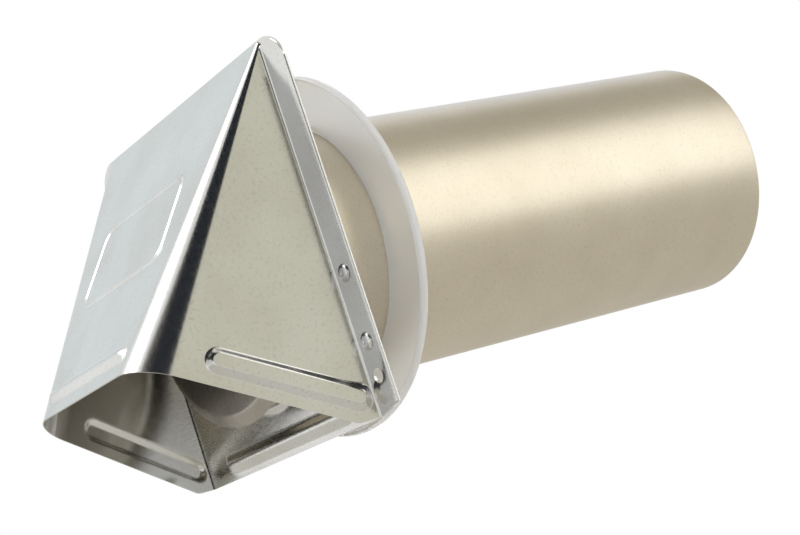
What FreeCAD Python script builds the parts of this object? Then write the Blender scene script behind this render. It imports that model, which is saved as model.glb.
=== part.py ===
import FreeCAD, Part
import math
import os
import re

import Sketcher

# Dryer vent cap: a folded sheet hood on a back plate, a round duct tail with a sliding trim ring,
# and a damper flap that hangs from a wire pin behind the hood's mouth.
# Millimetres. The origin is on the tail's axis at the back plate's rear face, which lies on the wall.
# +Y runs along the tail into the wall, +X is to the right seen from outside, +Z is up.

# Driving sizes, one value for each that can be set by itself.
SIZES = {
    "hood_sheet": 0.5,
    "plate_sheet": 0.5,
    "hood_side_room": 13.2,
    "side_lean": 18.0,
    "hood_depth": 76.4,
    "apex_rise": 18.2,
    "mouth_front_drop": 32.0,
    "mouth_rear_set": 9.0,
    "foot_drop": 21.2,
    "bend_radius_apex": 1.2,
    "bend_radius_mouth": 12.0,
    "mouth_corner_radius": 6.0,
    "flange_width": 12.4,
    "flange_top_radius": 12.0,
    "flange_foot_cut": 3.2,
    "apex_flange_height": 8.0,
    "hem_width": 2.6,
    "seat_gap": 0.05,
    "bead_width": 8.0,
    "bead_height": 2.0,
    "bead_end_run": 2.6,
    "side_bead_rise": 8.2,
    "side_bead_front_inset": 21.5,
    "side_bead_rear_room": 2.1,
    "front_bead_side_room": 12.0,
    "front_bead_inset": 8.6,
    "plate_bead_side_room": 16.0,
    "plate_bead_rise": 6.2,
    "frame_width": 68.0,
    "frame_height": 37.0,
    "frame_corner": 7.0,
    "frame_ridge_width": 2.0,
    "frame_ridge_height": 0.6,
    "frame_drop": 62.5,
    "duct_radius": 50.8,
    "duct_sheet": 0.5,
    "duct_length": 239.0,
    "duct_bead_foot": 3.2,
    "duct_bead_crown": 1.2,
    "duct_bead_rise": 1.2,
    "duct_hole_gap": 0.15,
    "seat_depth": 1.4,
    "seat_width": 1.8,
    "seam_width": 6.0,
    "seam_rise": 0.2,
    "seam_angle": 225.0,
    "collar_gap": 0.3,
    "flap_sheet": 0.4,
    "flap_flat_overlap": 1.0,
    "flap_overlap": 5.7,
    "flap_rim_back": 3.0,
    "flap_top_cut": 3.2,
    "flap_tilt": 5.0,
    "hinge_rise": 5.2,
    "hinge_set": 5.4,
    "pin_radius": 0.8,
    "pin_head_radius": 1.5,
    "pin_head_length": 0.6,
    "pin_overhang": 1.6,
    "knuckle_gap": 0.08,
    "tab_width": 8.0,
    "tab_root": 5.0,
    "ear_position": 17.2,
    "ear_sheet": 0.5,
    "ear_radius": 2.2,
    "ear_hole_gap": 0.05,
    "ear_side_gap": 0.3,
    "screw_radius": 2.7,
    "screw_height": -58.5,
    "fastener_line": 5.8,
    "rivet_shank_radius": 1.6,
    "rivet_head_radius": 3.25,
    "rivet_head_height": 1.3,
    "rivet_upper_height": -21.0,
    "rivet_lower_height": -46.0,
    "ring_position": 34.0,
    "ring_width": 20.2,
    "ring_web": 1.2,
    "ring_bore_gap": 0.3,
    "ring_lip_width": 1.3,
    "ring_lip_front": 1.0,
    "ring_lip_rear": 1.6,
    "ring_collar_width": 1.4,
    "ring_collar_rear": 3.0,
}

# Sizes worked out from the driving ones.
DERIVED = {
    "hood_half": "duct_radius + hood_side_room",
    "hood_width": "2 * hood_half",
    "mouth_half": "hood_half - side_lean",
    "apex_height": "duct_radius + apex_rise",
    "plate_foot": "duct_radius + foot_drop",
    "hood_back": "plate_sheet",
    "hood_run": "hood_depth - hood_back",
    "front_drop": "apex_height + mouth_front_drop",
    "front_length": "sqrt(hood_run ^ 2 + front_drop ^ 2)",
    "side_slope": "(hood_half - mouth_half) / hood_run",
    "mouth_run": "hood_depth - mouth_rear_set",
    "mouth_fall": "plate_foot - mouth_front_drop",
    "mouth_edge": "sqrt(mouth_run ^ 2 + mouth_fall ^ 2)",
    "side_bead_reach": "(hood_run * mouth_edge - side_bead_rise * mouth_fall) / mouth_run",
    "side_bead_length": "side_bead_reach - side_bead_front_inset - side_bead_rear_room",
    "front_bead_length": "2 * (mouth_half - front_bead_side_room)",
    "plate_bead_length": "2 * (hood_half - plate_bead_side_room)",
    "side_offset": "hood_sheet * sqrt(1 + side_slope ^ 2)",
    "front_offset": "hood_sheet * front_length / hood_run",
    "hem_room": "plate_sheet + 2 * seat_gap",
    "plate_half": "hood_half + flange_width + hem_room",
    "plate_top_radius": "flange_top_radius + hem_room",
    "plate_straight_top": "apex_height - plate_top_radius",
    "plate_straight_foot": "-plate_foot + flange_foot_cut",
    "fastener_half": "hood_half + fastener_line",
    "duct_bore": "duct_radius - duct_sheet",
    "mitre": "tan(22.5 * 1deg)",
    "duct_bead_half": "duct_bead_foot / 2 + duct_sheet * mitre + seat_gap",
    "duct_hole": "duct_radius + duct_hole_gap",
    "seat_radius": "duct_hole + seat_width",
    "hinge_height": "duct_radius + hinge_rise",
    "flap_flat_radius": "duct_radius + flap_flat_overlap",
    "flap_radius": "duct_radius + flap_overlap",
    "flap_drop": "(hinge_height + knuckle_bore * sin(flap_tilt * 1deg)) / cos(flap_tilt * 1deg)",
    "flap_set": "hinge_set + knuckle_bore * cos(flap_tilt * 1deg) + flap_drop * sin(flap_tilt * 1deg)",
    "collar_set": "hinge_set + (knuckle_bore - collar_gap) / cos(flap_tilt * 1deg)",
    "knuckle_bore": "pin_radius + knuckle_gap",
    "knuckle_radius": "knuckle_bore + flap_sheet",
    "tab_outer": "ear_position - ear_side_gap",
    "pin_half": "ear_position + ear_sheet + pin_overhang",
    "ring_bore": "duct_radius + ring_bore_gap",
    "ring_radius": "duct_radius + ring_width",
}

ALL_NAMES = re.compile(r"\b(" + "|".join(list(SIZES) + list(DERIVED)) + r")\b")
CUT_MARGIN = 10.0

# Two places nearer than this are the same place.
NEAR = 1e-3

doc = FreeCAD.newDocument("dryer_vent_cap")


def write_sheet():
    """Puts the driving sizes and then the worked-out ones into the spreadsheet."""
    table = doc.addObject("Spreadsheet::Sheet", "Sizes")
    for row, (name, value) in enumerate(SIZES.items(), start=1):
        table.set("A%d" % row, name)
        table.set("B%d" % row, str(value))
        table.setAlias("B%d" % row, name)
    first = len(SIZES) + 1
    for row, name in enumerate(DERIVED, start=first):
        table.set("A%d" % row, name)
        table.setAlias("B%d" % row, name)
    for row, formula in enumerate(DERIVED.values(), start=first):
        table.set("B%d" % row, "=" + formula)
    doc.recompute()
    return table


sheet = write_sheet()


def size(name):
    """The value of one named size."""
    return float(sheet.get(name))


def bind(thing, target, formula):
    """Binds a property or a constraint to a formula of named sizes."""
    thing.setExpression(target, ALL_NAMES.sub(r"Sizes.\1", formula))


def make(kind, label):
    thing = doc.addObject(kind, label)
    thing.Label = label
    return thing


def box(label, x_range, y_range, z_range):
    """A box between two formulas along each axis."""
    block = make("Part::Box", label)
    for side, axis, (low, high) in (
        ("Length", "x", x_range),
        ("Width", "y", y_range),
        ("Height", "z", z_range),
    ):
        bind(block, side, "(%s) - (%s)" % (high, low))
        bind(block, "Placement.Base." + axis, low)
    return block


def rod(label, radius, low, high, axis, at_y="0", at_z="0", at_x="0"):
    """A cylinder along X or Y between two formulas."""
    bar = make("Part::Cylinder", label)
    bind(bar, "Radius", radius)
    bind(bar, "Height", "(%s) - (%s)" % (high, low))
    if axis == "X":
        bar.Placement.Rotation = FreeCAD.Rotation(FreeCAD.Vector(0, 1, 0), 90)
        at_x = low
    else:
        bar.Placement.Rotation = FreeCAD.Rotation(FreeCAD.Vector(1, 0, 0), -90)
        at_y = low
    for letter, formula in (("x", at_x), ("y", at_y), ("z", at_z)):
        bind(bar, "Placement.Base." + letter, formula)
    return bar


def fuse(label, parts):
    joined = make("Part::MultiFuse", label)
    joined.Shapes = parts
    return joined


def cut(label, base, tool):
    remains = make("Part::Cut", label)
    remains.Base = base
    remains.Tool = tool
    return remains


def mirrored(label, source):
    """The same piece on the other side, mirrored across X = 0."""
    copy = make("Part::Mirroring", label)
    copy.Source = source
    copy.Base = FreeCAD.Vector(0, 0, 0)
    copy.Normal = FreeCAD.Vector(1, 0, 0)
    return copy


def new_body(label):
    return make("PartDesign::Body", label)


def new_sketch(body, name, role):
    """A sketch on one of the body's own origin planes."""
    drawing = body.newObject("Sketcher::SketchObject", name)
    origin_plane = [item for item in body.Origin.OriginFeatures if item.Role == role][0]
    drawing.AttachmentSupport = [(origin_plane, "")]
    drawing.MapMode = "FlatFace"
    return drawing


def fix_point(drawing, geometry, point, across, up):
    """Binds a point of the sketch to its two coordinates."""
    for kind, formula in (("DistanceX", across), ("DistanceY", up)):
        index = drawing.addConstraint(Sketcher.Constraint(kind, geometry, point, 1.0))
        bind(drawing, "Constraints[%d]" % index, formula)


def draw_polygon(drawing, corners):
    """A closed outline through corners, each a pair of formulas."""
    count = len(corners)
    spots = [
        FreeCAD.Vector(math.cos(2 * math.pi * k / count), math.sin(2 * math.pi * k / count), 0)
        for k in range(count)
    ]
    first = drawing.GeometryCount
    for k in range(count):
        drawing.addGeometry(Part.LineSegment(spots[k], spots[(k + 1) % count]), False)
    for k in range(count):
        following = first + (k + 1) % count
        drawing.addConstraint(Sketcher.Constraint("Coincident", first + k, 2, following, 1))
    for k, (across, up) in enumerate(corners):
        fix_point(drawing, first + k, 1, across, up)


def draw_circle(drawing, across, up, radius):
    circle = Part.Circle(FreeCAD.Vector(0, 0, 0), FreeCAD.Vector(0, 0, 1), 1.0)
    geometry = drawing.addGeometry(circle, False)
    fix_point(drawing, geometry, 3, across, up)
    index = drawing.addConstraint(Sketcher.Constraint("Radius", geometry, 1.0))
    bind(drawing, "Constraints[%d]" % index, radius)


def pad(body, name, drawing, length, symmetric=False):
    feature = body.newObject("PartDesign::Pad", name)
    feature.Profile = drawing
    bind(feature, "Length", length)
    if symmetric:
        feature.SideType = "Symmetric"
    return feature


def pocket_through(body, name, drawing):
    feature = body.newObject("PartDesign::Pocket", name)
    feature.Profile = drawing
    feature.Type = "ThroughAll"
    feature.SideType = "Symmetric"
    return feature


def turn(body, name, drawing, kind="PartDesign::Revolution"):
    """Revolves a profile drawn on the YZ plane about the Y axis."""
    feature = body.newObject(kind, name)
    feature.Profile = drawing
    feature.ReferenceAxis = (drawing, ["H_Axis"])
    feature.Angle = 360.0
    return feature


def edges_where(shape, test):
    """The numbers of the shape's open edges whose two ends pass the test."""
    found = []
    for index, edge in enumerate(shape.Edges, start=1):
        ends = [vertex.Point for vertex in edge.Vertexes]
        if len(ends) == 2 and test(*ends):
            found.append(index)
    return found


def round_corners(label, base, across, height, radius):
    """Rounds an outline's corners at one height, on either side, along the edges parallel to Y."""
    doc.recompute()

    def at_corner(start, end):
        along_y = abs(start.x - end.x) < NEAR and abs(start.z - end.z) < NEAR
        return along_y and abs(abs(start.x) - across) < NEAR and abs(start.z - height) < NEAR

    rounded = make("Part::Fillet", label)
    rounded.Base = base
    rounded.Edges = [(index, radius, radius) for index in edges_where(base.Shape, at_corner)]
    return rounded


# Hood


def hood_block(label, inside):
    """The wedge that the hood's sheet wraps, to its outer or its inner face."""
    side, front = ("side_offset", "front_offset") if inside else ("0", "0")
    behind = "-hood_back + %s" % CUT_MARGIN
    body = new_body(label + "_wedge")
    profile = new_sketch(body, label + "_profile", "YZ_Plane")
    if inside:
        reach = "(hood_depth + %s)" % CUT_MARGIN
        reach_z = "apex_height - %s - (%s - hood_back) * front_drop / hood_run" % (front, reach)
        foot = "-plate_foot - %s * 4" % CUT_MARGIN
        corners = [
            ("-hood_back", "apex_height - " + front),
            ("-" + reach, reach_z),
            ("-" + reach, foot),
            (behind, foot),
            (behind, "apex_height - " + front),
        ]
    else:
        corners = [
            ("-hood_back", "apex_height"),
            ("-hood_depth", "-mouth_front_drop"),
            ("-mouth_rear_set", "-plate_foot"),
            ("-hood_back", "-plate_foot"),
        ]
    draw_polygon(profile, corners)
    pad(body, label + "_pad", profile, "hood_width", symmetric=True)
    trims = new_sketch(body, label + "_trims", "XY_Plane")
    far = "-hood_depth - 2 * %s" % CUT_MARGIN
    narrow = "hood_half - %s - side_slope * (hood_run + 2 * %s)" % (side, CUT_MARGIN)
    wide = "hood_half - %s + side_slope * %s" % (side, CUT_MARGIN)
    for sign in ("", "-"):
        draw_polygon(
            trims,
            [
                ("%s(%s)" % (sign, wide), behind),
                ("%s(%s)" % (sign, narrow), far),
                ("%s(hood_half + %s)" % (sign, CUT_MARGIN), far),
                ("%s(hood_half + %s)" % (sign, CUT_MARGIN), behind),
            ],
        )
    pocket_through(body, label + "_sides", trims)
    doc.recompute()
    return body


def bend_edges(shape):
    """The edges where the front panel meets the side panels."""
    found = []
    for index, edge in enumerate(shape.Edges, start=1):
        low = min(edge.Vertexes, key=lambda vertex: vertex.Point.z).Point
        high = max(edge.Vertexes, key=lambda vertex: vertex.Point.z).Point
        slanted = high.z - low.z > size("front_drop") / 2 and high.y - low.y > size("hood_run") / 2
        if slanted and abs(low.x) > 1:
            found.append((index, edge.Vertexes[0].Point.z > edge.Vertexes[-1].Point.z))
    return found


def rounded_block(label, inside):
    """The wedge with its conical bends, tight at the apex and wide at the mouth."""
    wedge = hood_block(label, inside)
    inset = size("hood_sheet") if inside else 0.0
    tight = size("bend_radius_apex") - inset
    wide = size("bend_radius_mouth") - inset
    if inside:
        wide = tight + (wide - tight) * (1 + CUT_MARGIN / size("hood_run"))
    bends = make("Part::Fillet", label + "_bends")
    bends.Base = wedge
    bends.Edges = [
        (index, tight, wide) if apex_first else (index, wide, tight)
        for index, apex_first in bend_edges(wedge.Shape)
    ]
    doc.recompute()
    return bends


# The radius of the bar that presses a bead of the stated width and height.
BEAD_RADIUS = "((bead_width / 2) ^ 2 + bead_height ^ 2) / (2 * bead_height)"

# A bead's tapered end runs on below the sheet's face, to this many times its run.
END_DIP = 1.3


def tapered_bar(label, start, end, radius):
    """A bar with tapered ends, which presses a bead into a sheet when it is sunk in it."""
    axis = end.sub(start).normalize()
    taper = axis * size("bead_end_run")
    bar = make("Part::Cylinder", label + "_bar")
    bind(bar, "Radius", radius)
    bar.Height = end.sub(start).Length - 2 * taper.Length
    bar.Placement = FreeCAD.Placement(start + taper, FreeCAD.Rotation(FreeCAD.Vector(0, 0, 1), axis))
    parts = [bar]
    for name, foot, outward in (("start", start + taper, axis * -1), ("end", end - taper, axis)):
        cone = make("Part::Cone", "%s_%s" % (label, name))
        bind(cone, "Radius1", radius)
        bind(cone, "Radius2", "%s - %s * bead_height" % (radius, END_DIP))
        bind(cone, "Height", "%s * bead_end_run" % END_DIP)
        cone.Placement = FreeCAD.Placement(foot, FreeCAD.Rotation(FreeCAD.Vector(0, 0, 1), outward))
        parts.append(cone)
    return fuse(label, parts)


def bead_sink():
    """How far below the sheet's face a bead's centre line lies."""
    half = size("bead_width") / 2
    height = size("bead_height")
    return (half ** 2 + height ** 2) / (2 * height) - height


def side_spot(along, rise):
    """A point on the right side panel: along the mouth's edge from its front end, and up from it."""
    front = FreeCAD.Vector(0, -size("hood_depth"), -size("mouth_front_drop"))
    rear = FreeCAD.Vector(0, -size("mouth_rear_set"), -size("plate_foot"))
    edge = rear.sub(front).normalize()
    square = FreeCAD.Vector(0, -edge.z, edge.y)
    spot = front + edge * along + square * rise
    spot.x = size("hood_half") + size("side_slope") * (spot.y + size("hood_back"))
    return spot


def hood_beads(label, radius):
    """The beads of both side panels and of the front panel, to one face of the sheet."""
    inward = FreeCAD.Vector(-1, size("side_slope"), 0).normalize() * bead_sink()
    inset, rise = size("side_bead_front_inset"), size("side_bead_rise")
    start = side_spot(inset, rise) + inward
    end = side_spot(inset + size("side_bead_length"), rise) + inward
    right = tapered_bar(label + "_side", start, end, radius)
    left = mirrored(label + "_side_left", right)
    down = size("front_length") - size("front_bead_inset")
    sink = FreeCAD.Vector(0, size("front_drop"), -size("hood_run")).normalize() * bead_sink()
    middle = front_spot(down) + sink
    reach = FreeCAD.Vector(size("front_bead_length") / 2, 0, 0)
    front = tapered_bar(label + "_front", middle - reach, middle + reach, radius)
    return [right, left, front]


def front_spot(down):
    """A point on the middle of the front panel, a distance down from the apex."""
    share = down / size("front_length")
    return FreeCAD.Vector(
        0,
        -size("hood_back") - size("hood_run") * share,
        size("apex_height") - size("front_drop") * share,
    )


def rounded_bar(label, width, height, corner, depth, lift):
    """A rounded rectangle lying on the front panel, from lift below its face to depth above that."""
    tilt = math.degrees(math.atan2(size("front_drop"), size("hood_run")))
    facing = FreeCAD.Rotation(FreeCAD.Vector(1, 0, 0), tilt)
    block = make("Part::Box", label + "_block")
    block.Length = width
    block.Width = height
    block.Height = depth
    corner_spot = facing.multVec(FreeCAD.Vector(-width / 2, -height / 2, lift))
    block.Placement = FreeCAD.Placement(front_spot(size("frame_drop")) + corner_spot, facing)
    doc.recompute()
    rounded = make("Part::Fillet", label)
    rounded.Base = block
    upright = edges_where(block.Shape, lambda start, end: abs(start.distanceToPoint(end) - depth) < NEAR)
    rounded.Edges = [(index, corner, corner) for index in upright]
    return rounded


def frame_ridge(label, inset, lift):
    """The raised rounded frame on the front panel, to one face of the sheet."""
    rise = size("frame_ridge_height")
    outer = rounded_bar(
        label + "_outside",
        size("frame_width") - 2 * inset,
        size("frame_height") - 2 * inset,
        size("frame_corner") - inset,
        rise - lift + bury(lift),
        -bury(lift),
    )
    band = size("frame_ridge_width") - inset
    inner = rounded_bar(
        label + "_inside",
        size("frame_width") - 2 * band,
        size("frame_height") - 2 * band,
        size("frame_corner") - band,
        rise - lift + bury(lift) + 2 * CUT_MARGIN,
        -bury(lift) - CUT_MARGIN,
    )
    return cut(label, outer, inner)


def bury(lift):
    """How deep a ridge starts below the panel's face, so that it joins the sheet or opens it."""
    return size("hood_sheet") * (1.5 if lift else 0.5)


def hood_flange(label):
    """The right side flange, round at its top corner and cut at a slant at its foot, with its holes."""
    body = new_body(label)
    outline = new_sketch(body, label + "_outline", "XZ_Plane")
    inner, outer = "hood_half - side_offset", "hood_half + flange_width"
    top = "apex_height - front_offset"
    draw_polygon(
        outline, [(inner, top), (outer, top), (outer, "plate_straight_foot"), (inner, "-plate_foot")]
    )
    draw_circle(outline, "fastener_half", "screw_height", "screw_radius")
    for height in ("rivet_upper_height", "rivet_lower_height"):
        draw_circle(outline, "fastener_half", height, "rivet_shank_radius")
    pad(body, label + "_pad", outline, "hood_sheet + plate_sheet")
    rounded = round_corners(
        label + "_round",
        body,
        size("hood_half") + size("flange_width"),
        size("apex_height") - size("front_offset"),
        size("flange_top_radius"),
    )
    front_half = box(
        label + "_keep",
        ("0", "plate_half"),
        ("-plate_sheet - hood_sheet", "-plate_sheet"),
        ("-plate_foot", "apex_height"),
    )
    leaf = make("Part::Common", label + "_leaf")
    leaf.Base = rounded
    leaf.Tool = front_half
    return leaf


def make_hood():
    outer = rounded_block("hood_outer", inside=False)
    corners = make("Part::Fillet", "hood_mouth_corners")
    corners.Base = outer
    radius = size("mouth_corner_radius")

    def at_rear_foot(*ends):
        return all(
            abs(end.y + size("mouth_rear_set")) < NEAR and abs(end.z + size("plate_foot")) < NEAR
            for end in ends
        )

    corners.Edges = [(index, radius, radius) for index in edges_where(outer.Shape, at_rear_foot)]
    skin = [corners] + hood_beads("bead_outer", BEAD_RADIUS)
    skin.append(frame_ridge("frame_outer", 0.0, 0.0))
    hollow = [rounded_block("hood_inner", inside=True)]
    hollow += hood_beads("bead_inner", BEAD_RADIUS + " - hood_sheet")
    hollow.append(frame_ridge("frame_inner", size("hood_sheet"), size("hood_sheet")))
    shell = cut("hood_shell", fuse("hood_skin", skin), fuse("hood_hollow", hollow))
    right = hood_flange("hood_flange")
    apex = box(
        "hood_apex_flange",
        ("-hood_half + side_offset", "hood_half - side_offset"),
        ("-plate_sheet - hood_sheet", "-plate_sheet"),
        ("apex_height - front_offset - apex_flange_height", "apex_height - front_offset"),
    )
    return fuse("hood", [shell, right, mirrored("hood_flange_left", right), apex])


# Back plate


def plate_hem(label):
    """The plate's right edge, folded forward over the hood's flange."""
    foot, top = "plate_straight_foot", "plate_straight_top"
    front = "-2 * plate_sheet - hood_sheet - seat_gap"
    wall = box(label + "_wall", ("plate_half - plate_sheet", "plate_half"), (front, "0"), (foot, top))
    lip = box(
        label + "_lip",
        ("plate_half - hem_width", "plate_half"),
        (front, "-plate_sheet - hood_sheet - seat_gap"),
        (foot, top),
    )
    return fuse(label, [wall, lip])


def hinge_ear(label):
    """An ear of the plate that carries one end of the hinge pin."""
    inner, outer = "ear_position", "ear_position + ear_sheet"
    stem = box(
        label + "_stem",
        (inner, outer),
        ("-hinge_set", "-plate_sheet"),
        ("hinge_height - ear_radius", "hinge_height + ear_radius"),
    )
    tip = rod(label + "_tip", "ear_radius", inner, outer, "X", "-hinge_set", "hinge_height")
    hole = rod(
        label + "_hole",
        "pin_radius + ear_hole_gap",
        inner + " - 1",
        outer + " + 1",
        "X",
        "-hinge_set",
        "hinge_height",
    )
    return cut(label, fuse(label + "_solid", [stem, tip]), hole)


def plate_bead(label, radius):
    """The bead along the plate's foot, standing forward."""
    height = size("plate_bead_rise") - size("plate_foot")
    middle = FreeCAD.Vector(0, bead_sink() - size("plate_sheet"), height)
    reach = FreeCAD.Vector(size("plate_bead_length") / 2, 0, 0)
    return tapered_bar(label, middle - reach, middle + reach, radius)


def make_back_plate():
    body = new_body("plate_blank")
    outline = new_sketch(body, "plate_outline", "XZ_Plane")
    corners = [
        ("plate_half", "apex_height"),
        ("plate_half", "plate_straight_foot"),
        ("hood_half", "-plate_foot"),
    ]
    left = [("-(%s)" % across, up) for across, up in reversed(corners)]
    draw_polygon(outline, corners + left)
    draw_circle(outline, "0", "0", "seat_radius + seat_depth")
    for sign in ("", "-"):
        draw_circle(outline, sign + "fastener_half", "screw_height", "screw_radius")
        for height in ("rivet_upper_height", "rivet_lower_height"):
            draw_circle(outline, sign + "fastener_half", height, "rivet_shank_radius")
    pad(body, "plate_pad", outline, "plate_sheet")
    seat = new_sketch(body, "plate_seat", "YZ_Plane")
    step = "plate_sheet * mitre"
    draw_polygon(
        seat,
        [
            ("0", "seat_radius + seat_depth + 1"),
            ("0", "seat_radius + seat_depth"),
            ("-seat_depth", "seat_radius"),
            ("-seat_depth", "duct_hole"),
            ("-seat_depth - plate_sheet", "duct_hole"),
            ("-seat_depth - plate_sheet", "seat_radius + " + step),
            ("-plate_sheet", "seat_radius + seat_depth + " + step),
            ("-plate_sheet", "seat_radius + seat_depth + 1"),
        ],
    )
    turn(body, "plate_seat_turn", seat)
    blank = round_corners(
        "plate_round", body, size("plate_half"), size("apex_height"), size("plate_top_radius")
    )
    behind = box(
        "plate_bead_rear_trim",
        ("-hood_half", "hood_half"),
        ("-plate_sheet", str(2 * CUT_MARGIN)),
        ("-plate_foot", "-duct_radius"),
    )
    bead = cut("plate_bead_front", plate_bead("plate_bead_outer", BEAD_RADIUS), behind)
    hem = plate_hem("plate_hem")
    ear = hinge_ear("hinge_ear")
    parts = [blank, bead, hem, mirrored("plate_hem_left", hem), ear, mirrored("hinge_ear_left", ear)]
    hollow = plate_bead("plate_bead_inner", BEAD_RADIUS + " - plate_sheet")
    return cut("back_plate", fuse("plate_solid", parts), hollow)


# Duct tail


def bead_section(centre, skin):
    """A rolled bead's section with a flat crown, on the tube's inner face or a sheet outside it."""
    foot = "(duct_bead_foot / 2 + %s * mitre)" % skin
    crown = "(duct_bead_crown / 2 + %s * mitre)" % skin
    base, top = "duct_bore + %s" % skin, "duct_bore + duct_bead_rise + %s" % skin
    return [
        ("%s - %s" % (centre, foot), base + " - duct_sheet / 2"),
        ("%s - %s" % (centre, foot), base),
        ("%s - %s" % (centre, crown), top),
        ("%s + %s" % (centre, crown), top),
        ("%s + %s" % (centre, foot), base),
        ("%s + %s" % (centre, foot), base + " - duct_sheet / 2"),
    ]


def make_duct():
    body = new_body("duct_tube")
    collar = "-(collar_set + (hinge_height + duct_radius + %s) * tan(flap_tilt * 1deg))" % CUT_MARGIN
    wall = new_sketch(body, "duct_wall", "YZ_Plane")
    draw_polygon(
        wall,
        [(collar, "0"), ("duct_length", "0"), ("duct_length", "duct_radius"), (collar, "duct_radius")],
    )
    turn(body, "duct_solid", wall)
    centres = ("duct_bead_half - seat_depth", "-seat_depth - plate_sheet - duct_bead_half")
    beads = new_sketch(body, "duct_beads", "YZ_Plane")
    for centre in centres:
        draw_polygon(beads, bead_section(centre, "duct_sheet"))
    turn(body, "duct_beads_outside", beads)
    bore = new_sketch(body, "duct_bore_profile", "YZ_Plane")
    draw_polygon(
        bore,
        [
            (collar + " - 1", "0"),
            ("duct_length + 1", "0"),
            ("duct_length + 1", "duct_bore"),
            (collar + " - 1", "duct_bore"),
        ],
    )
    turn(body, "duct_bore_cut", bore, "PartDesign::Groove")
    grooves = new_sketch(body, "duct_bead_grooves", "YZ_Plane")
    for centre in centres:
        draw_polygon(grooves, bead_section(centre, "0"))
    turn(body, "duct_beads_inside", grooves, "PartDesign::Groove")
    slant = new_sketch(body, "duct_slant", "YZ_Plane")
    top = "-(collar_set + (hinge_height - duct_radius - %s) * tan(flap_tilt * 1deg))" % CUT_MARGIN
    low_end, high_end = "-duct_radius - %s" % CUT_MARGIN, "duct_radius + %s" % CUT_MARGIN
    far = "-collar_set - 4 * %s" % CUT_MARGIN
    draw_polygon(slant, [(collar, low_end), (top, high_end), (far, high_end), (far, low_end)])
    pocket_through(body, "duct_slant_cut", slant)
    cover = rod("seam_cover", "duct_radius + seam_rise", "2 * duct_bead_half", "duct_length", "Y")
    core = rod("seam_core", "duct_radius - duct_sheet / 2", "0", "duct_length + 1", "Y")
    strip = make("Part::Box", "seam_strip")
    bind(strip, "Length", "duct_radius + %s" % CUT_MARGIN)
    bind(strip, "Width", "duct_length + 1")
    bind(strip, "Height", "seam_width")
    turned = FreeCAD.Rotation(FreeCAD.Vector(0, 1, 0), -size("seam_angle"))
    corner = turned.multVec(FreeCAD.Vector(0, 0, -size("seam_width") / 2))
    strip.Placement = FreeCAD.Placement(corner, turned)
    seam = make("Part::Common", "lock_seam")
    seam.Base = cut("seam_skin", cover, core)
    seam.Tool = strip
    return fuse("duct_tail", [body, seam])


# Trim ring


def make_trim_ring():
    """A thin plastic ring with a rolled lip outside and a short collar on the tail."""
    body = new_body("trim_ring")
    profile = new_sketch(body, "ring_profile", "YZ_Plane")
    front, rear = "ring_position", "ring_position + ring_web"
    draw_polygon(
        profile,
        [
            (front, "ring_bore"),
            (front, "ring_radius - ring_lip_width"),
            (front + " - ring_lip_front", "ring_radius - ring_lip_width / 2"),
            (front + " - ring_lip_front / 2", "ring_radius"),
            (rear + " + ring_lip_rear / 2", "ring_radius"),
            (rear + " + ring_lip_rear", "ring_radius - ring_lip_width / 2"),
            (rear, "ring_radius - ring_lip_width"),
            (rear, "ring_bore + ring_collar_width"),
            (rear + " + ring_collar_rear", "ring_bore + ring_collar_width / 2"),
            (rear + " + ring_collar_rear", "ring_bore"),
        ],
    )
    turn(body, "ring_turn", profile)
    return body


# Damper flap and its pin


def make_flap():
    """A dished round flap, cut flat at the top, with two tabs curled round the pin."""
    body = new_body("flap_disc")
    profile = new_sketch(body, "flap_profile", "YZ_Plane")
    draw_polygon(
        profile,
        [
            ("0", "0"),
            ("0", "flap_flat_radius"),
            ("flap_rim_back", "flap_radius - flap_sheet / 2"),
            ("flap_rim_back - flap_sheet / 2", "flap_radius"),
            ("-flap_sheet", "flap_flat_radius"),
            ("-flap_sheet", "0"),
        ],
    )
    turn(body, "flap_dish", profile)
    top = new_sketch(body, "flap_top", "YZ_Plane")
    low, high = "flap_drop - flap_top_cut", "flap_drop + %s" % CUT_MARGIN
    front, rear = "-%s" % CUT_MARGIN, str(CUT_MARGIN)
    draw_polygon(top, [(front, low), (rear, low), (rear, high), (front, high)])
    pocket_through(body, "flap_top_cut_off", top)
    inner, outer = "tab_outer - tab_width", "tab_outer"
    strap = box(
        "tab_strap",
        (inner, outer),
        ("-flap_sheet", "0"),
        ("flap_drop - flap_top_cut - tab_root", "flap_drop"),
    )
    curl = rod("tab_curl", "knuckle_radius", inner, outer, "X", "knuckle_bore", "flap_drop")
    tab = fuse("tab", [strap, curl])
    bore = rod(
        "tab_bore", "knuckle_bore", "-tab_outer - 1", "tab_outer + 1", "X", "knuckle_bore", "flap_drop"
    )
    blank = fuse("flap_blank", [body, tab, mirrored("tab_left", tab)])
    flap = cut("damper_flap", blank, bore)
    flap.Placement.Rotation = FreeCAD.Rotation(FreeCAD.Vector(1, 0, 0), -size("flap_tilt"))
    bind(flap, "Placement.Base.y", "-flap_set")
    return flap


def make_pin():
    """A wire pin with an upset head at each end."""
    shank = rod("pin_shank", "pin_radius", "-pin_half", "pin_half", "X", "-hinge_set", "hinge_height")
    head = rod(
        "pin_head", "pin_head_radius", "pin_half", "pin_half + pin_head_length", "X",
        "-hinge_set", "hinge_height",
    )
    return fuse("hinge_pin", [shank, head, mirrored("pin_head_left", head)])


# Rivets


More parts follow.
